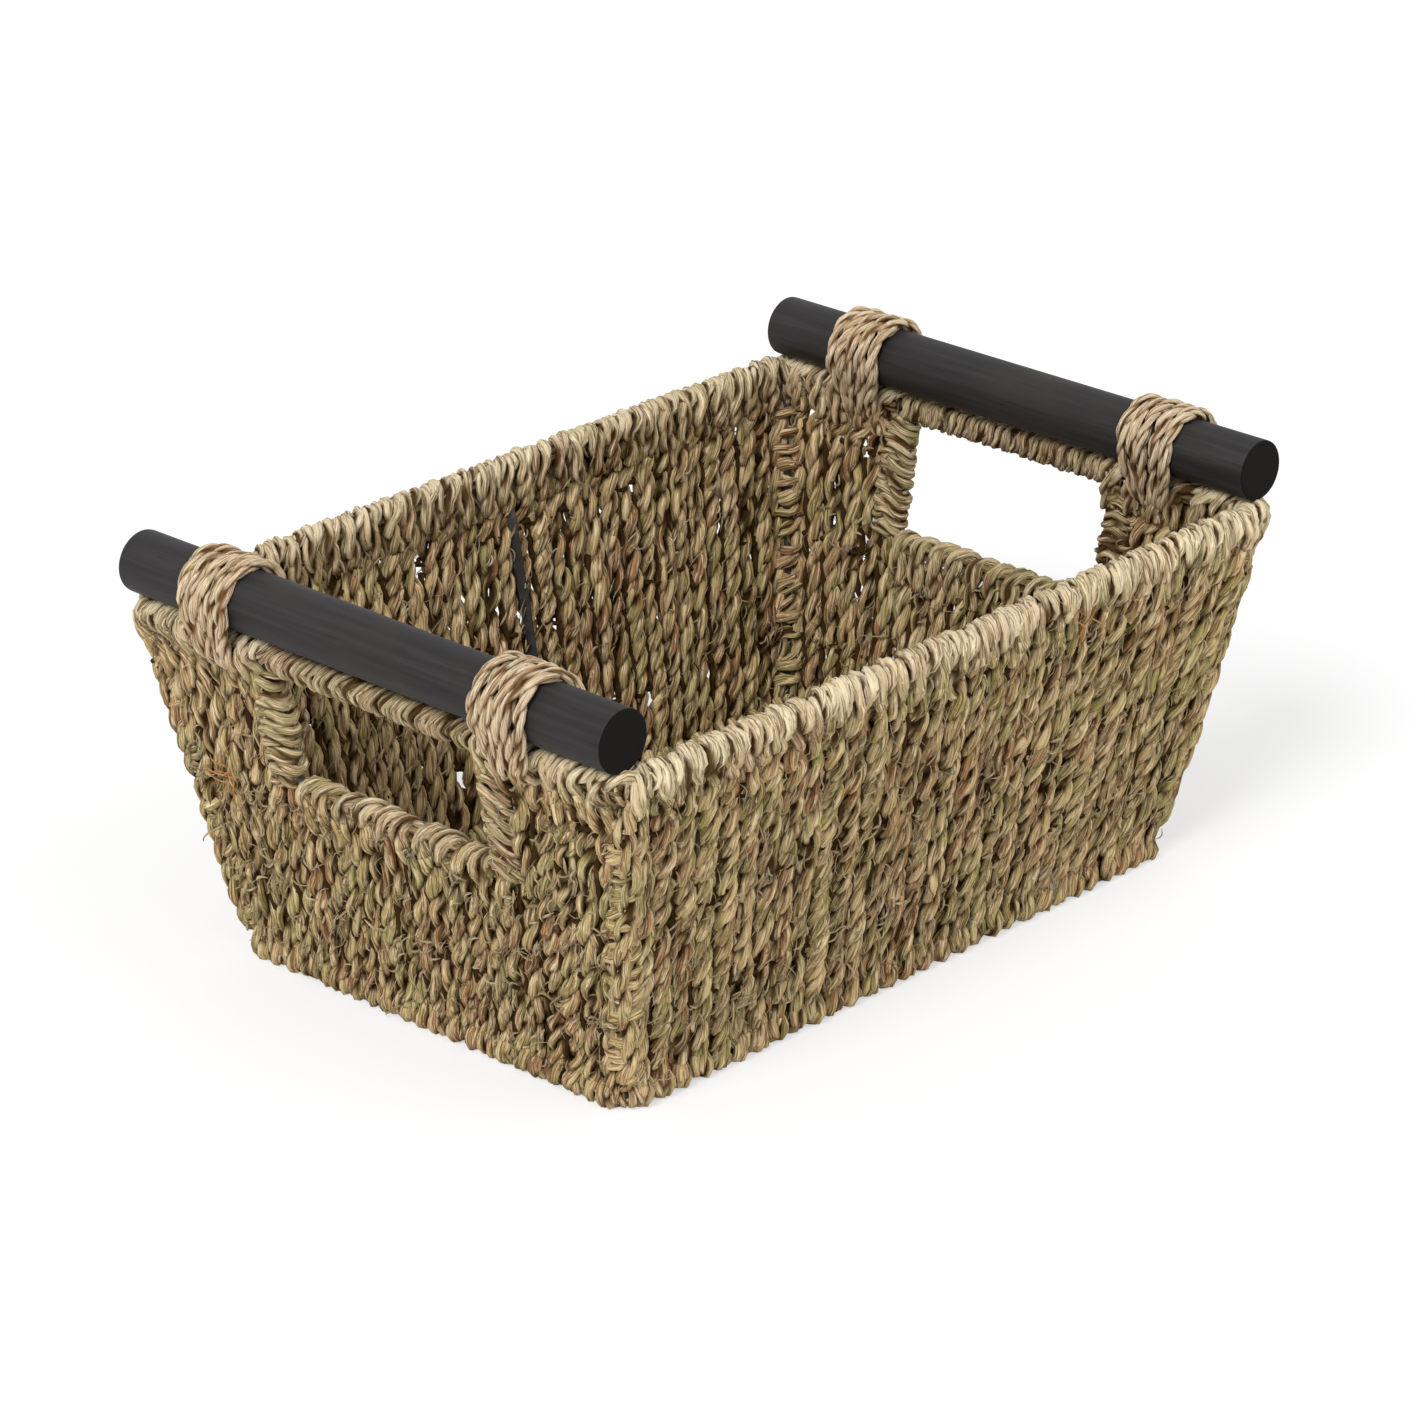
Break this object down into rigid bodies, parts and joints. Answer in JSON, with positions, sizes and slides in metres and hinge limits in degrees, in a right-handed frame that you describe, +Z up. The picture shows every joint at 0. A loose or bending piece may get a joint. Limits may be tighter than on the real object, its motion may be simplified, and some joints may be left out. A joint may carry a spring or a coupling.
{
  "type": "woven basket",
  "caption": "Low rectangular woven seagrass storage and laundry basket on a wire frame, with hand holes and a black dowel handle lashed across each end.",
  "frame": {"origin": "centre of the base, on the surface that the basket stands on", "axes": "+X along the basket towards the right-hand dowel, +Y across it towards the back wall, +Z up"},
  "size_m": [0.3534, 0.238, 0.1618],
  "materials": {
    "seagrass_weave": "matte twisted seagrass cord, brown and green strands",
    "seagrass_binding": "matte twisted seagrass cord, sun-bleached straw colour",
    "lashing_cord": "matte fine twisted tan cord",
    "black_wood": "matte black stain with faint grain",
    "black_steel": "black coated wire"
  },
  "bodies": {
    "root": {"rim_wire": "black_steel", "base_wire": "black_steel", "corner_post_front_left": "black_steel", "corner_post_front_right": "black_steel", "corner_post_back_left": "black_steel", "corner_post_back_right": "black_steel", "middle_hoop": "black_steel", "hand_hole_wire_left": "black_steel", "hand_hole_wire_right": "black_steel", "rim_binding_front": "seagrass_binding", "rim_binding_right": "seagrass_binding", "rim_binding_back": "seagrass_binding", "rim_binding_left": "seagrass_binding", "base_binding_front": "seagrass_binding", "base_binding_right": "seagrass_binding", "base_binding_back": "seagrass_binding", "base_binding_left": "seagrass_binding", "corner_lacing_front_left": "seagrass_weave", "corner_lacing_front_right": "seagrass_weave", "corner_lacing_back_left": "seagrass_weave", "corner_lacing_back_right": "seagrass_weave", "hand_hole_binding_left": "seagrass_weave", "hand_hole_binding_right": "seagrass_weave", "front_wall_weave": "seagrass_weave", "back_wall_weave": "seagrass_weave", "left_wall_weave": "seagrass_weave", "right_wall_weave": "seagrass_weave", "base_weave": "seagrass_weave", "dowel_handle_left": "black_wood", "dowel_handle_right": "black_wood", "handle_lashing_left_front": "lashing_cord", "handle_lashing_left_back": "lashing_cord", "handle_lashing_right_front": "lashing_cord", "handle_lashing_right_back": "lashing_cord"}
  },
  "joints": []
}
